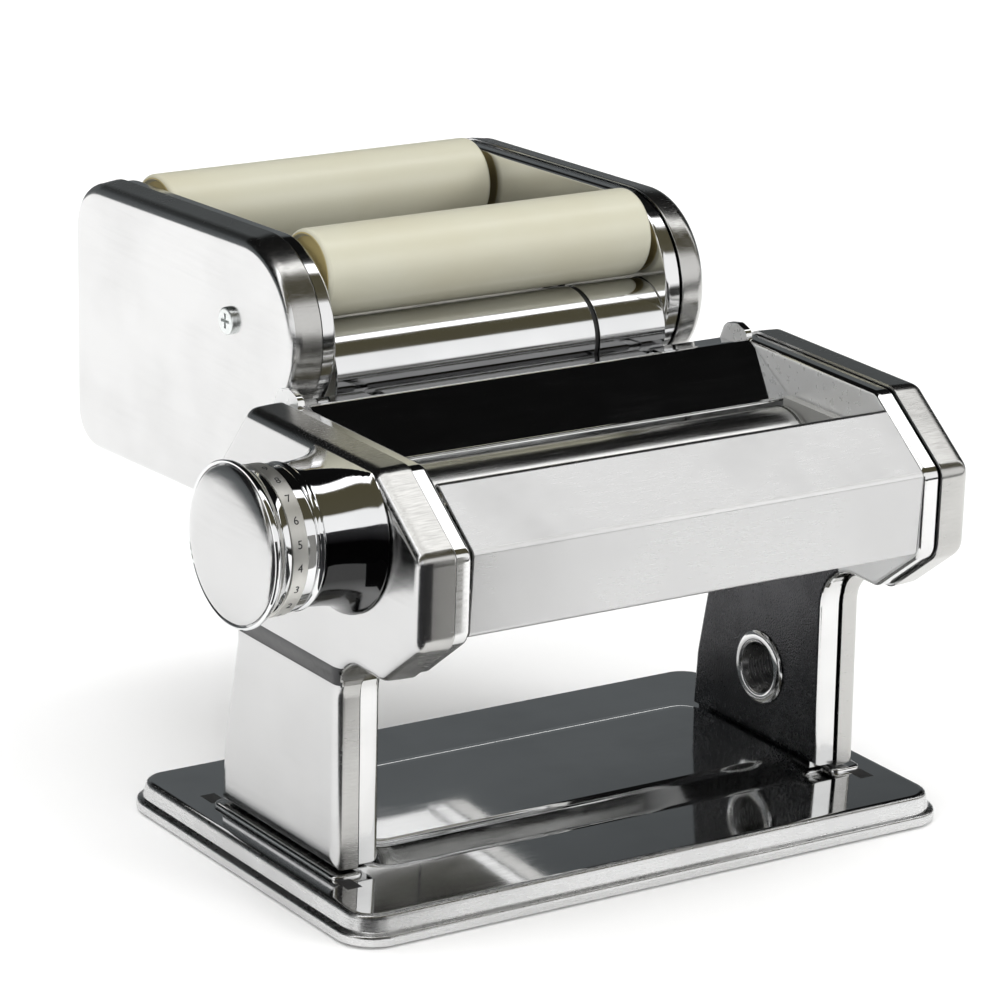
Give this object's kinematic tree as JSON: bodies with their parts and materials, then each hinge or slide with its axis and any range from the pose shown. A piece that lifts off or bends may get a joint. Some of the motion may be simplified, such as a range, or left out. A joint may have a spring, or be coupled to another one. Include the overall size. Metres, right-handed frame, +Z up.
{
  "type": "pasta roller machine",
  "caption": "Hand-cranked pasta roller in chromed steel with a thickness dial on the left, a wide base plate, and a filled-pasta attachment hooked on behind.",
  "frame": {"origin": "middle of the underside of the base, on the surface it stands on", "axes": "+X along the rollers towards the crank side, +Y towards the attachment at the back, +Z up"},
  "size_m": [0.2448, 0.2376, 0.1789],
  "materials": {
    "polished_chrome": "bright chromed steel, near mirror",
    "satin_chrome": "satin chromed steel, fine brushed grain",
    "plain_steel": "turned or ground steel",
    "bush_brass": "sintered bearing metal",
    "cream_plastic": "satin ivory plastic",
    "white_plastic": "matt food-safe plastic",
    "black_rubber": "matt black"
  },
  "bodies": {
    "frame": {"base_mat": "black_rubber", "base_pan": "polished_chrome", "left_inner_frame": "polished_chrome", "right_inner_frame": "polished_chrome", "left_outer_cover": "satin_chrome", "right_outer_cover": "satin_chrome", "left_clamp_bush": "plain_steel", "right_clamp_bush": "plain_steel", "front_panel": "satin_chrome", "hopper_plate": "polished_chrome", "front_guide": "polished_chrome", "rear_panel": "polished_chrome", "left_dough_guide": "white_plastic", "right_dough_guide": "white_plastic", "front_scraper": "plain_steel", "rear_scraper": "plain_steel", "tie_rod": "plain_steel", "hanger_rod": "plain_steel", "rest_rod": "plain_steel", "left_drive_bush": "bush_brass", "right_drive_bush": "bush_brass", "crank_socket_ring": "polished_chrome", "dial_boss": "polished_chrome"},
    "drive_roller": {"drive_roller": "plain_steel", "drive_gear": "plain_steel", "crank_coupler": "plain_steel"},
    "adjuster": {"adjuster_axle": "plain_steel", "axle_pinion": "plain_steel"},
    "roller_bushes": {"left_roller_bush": "bush_brass", "right_roller_bush": "bush_brass"},
    "adjustable_roller": {"adjustable_roller": "plain_steel", "adjustable_gear": "plain_steel"},
    "dial": {"dial_shaft": "plain_steel", "dial_pinion": "plain_steel", "dial_spring": "plain_steel"},
    "dial_knob": {"dial_knob": "polished_chrome", "dial_number_ring": "satin_chrome", "dial_cap": "satin_chrome", "dial_lock_pin": "plain_steel"},
    "attachment": {"att_left_frame": "polished_chrome", "att_right_frame": "polished_chrome", "att_left_cover": "satin_chrome", "att_right_cover": "satin_chrome", "att_left_screw": "plain_steel", "att_right_screw": "plain_steel", "att_front_guard": "polished_chrome", "att_guard_ring": "black_rubber", "att_end_guard": "polished_chrome", "att_front_apron": "polished_chrome", "att_rear_panel": "polished_chrome", "att_filling_chute": "polished_chrome", "att_left_hook": "plain_steel", "att_right_hook": "plain_steel"},
    "front_cream_roller": {"front_cream_roller": "cream_plastic"},
    "rear_cream_roller": {"rear_cream_roller": "cream_plastic"},
    "front_forming_roller": {"front_forming_roller": "white_plastic", "front_forming_gear": "plain_steel", "att_crank_coupler": "plain_steel"},
    "rear_forming_roller": {"rear_forming_roller": "white_plastic", "rear_forming_gear": "plain_steel"}
  },
  "joints": [
    {"name": "drive_roller_spin", "type": "hinge", "parent": "frame", "child": "drive_roller", "pos_m": [0, -0.017, 0.11], "axis": [1, 0, 0], "continuous": true},
    {"name": "dial_turn", "type": "hinge", "parent": "frame", "child": "dial", "pos_m": [0, -0.0365, 0.1173], "axis": [-1, 0, 0], "range_deg": [0, 160]},
    {"name": "dial_pull", "type": "slide", "parent": "dial", "child": "dial_knob", "axis": [-1, 0, 0], "range_m": [0, 0.004], "stiffness_N_per_m": 600, "springref_m": -0.003, "deforming": ["dial_spring"]},
    {"name": "adjuster_turn", "type": "hinge", "parent": "frame", "child": "adjuster", "pos_m": [0, -0.04715, 0.11], "axis": [-1, 0, 0], "range_deg": [-160, 0]},
    {"name": "roller_bush_turn", "type": "hinge", "parent": "adjuster", "child": "roller_bushes", "pos_m": [0, -0.04853, 0.10976], "axis": [-1, 0, 0], "range_deg": [0, 160]},
    {"name": "adjustable_roller_spin", "type": "hinge", "parent": "roller_bushes", "child": "adjustable_roller", "pos_m": [0, -0.04853, 0.10976], "axis": [1, 0, 0], "continuous": true},
    {"name": "attachment_lift", "type": "slide", "parent": "frame", "child": "attachment", "axis": [0, 0, 1], "range_m": [0, 0.05]},
    {"name": "front_cream_spin", "type": "hinge", "parent": "attachment", "child": "front_cream_roller", "pos_m": [0, 0.0486, 0.1653], "axis": [1, 0, 0], "continuous": true},
    {"name": "rear_cream_spin", "type": "hinge", "parent": "attachment", "child": "rear_cream_roller", "pos_m": [0, 0.13703, 0.16163], "axis": [1, 0, 0], "continuous": true},
    {"name": "front_forming_spin", "type": "hinge", "parent": "attachment", "child": "front_forming_roller", "pos_m": [0, 0.0732, 0.11809], "axis": [1, 0, 0], "continuous": true},
    {"name": "rear_forming_spin", "type": "hinge", "parent": "attachment", "child": "rear_forming_roller", "pos_m": [0, 0.10797, 0.11645], "axis": [1, 0, 0], "continuous": true}
  ],
  "couplings": [
    {"joint": "adjuster_turn", "follows": "dial_turn", "ratio": -1},
    {"joint": "roller_bush_turn", "follows": "dial_turn", "ratio": 1},
    {"joint": "adjustable_roller_spin", "follows": "drive_roller_spin", "ratio": -1},
    {"joint": "rear_forming_spin", "follows": "front_forming_spin", "ratio": -1}
  ]
}
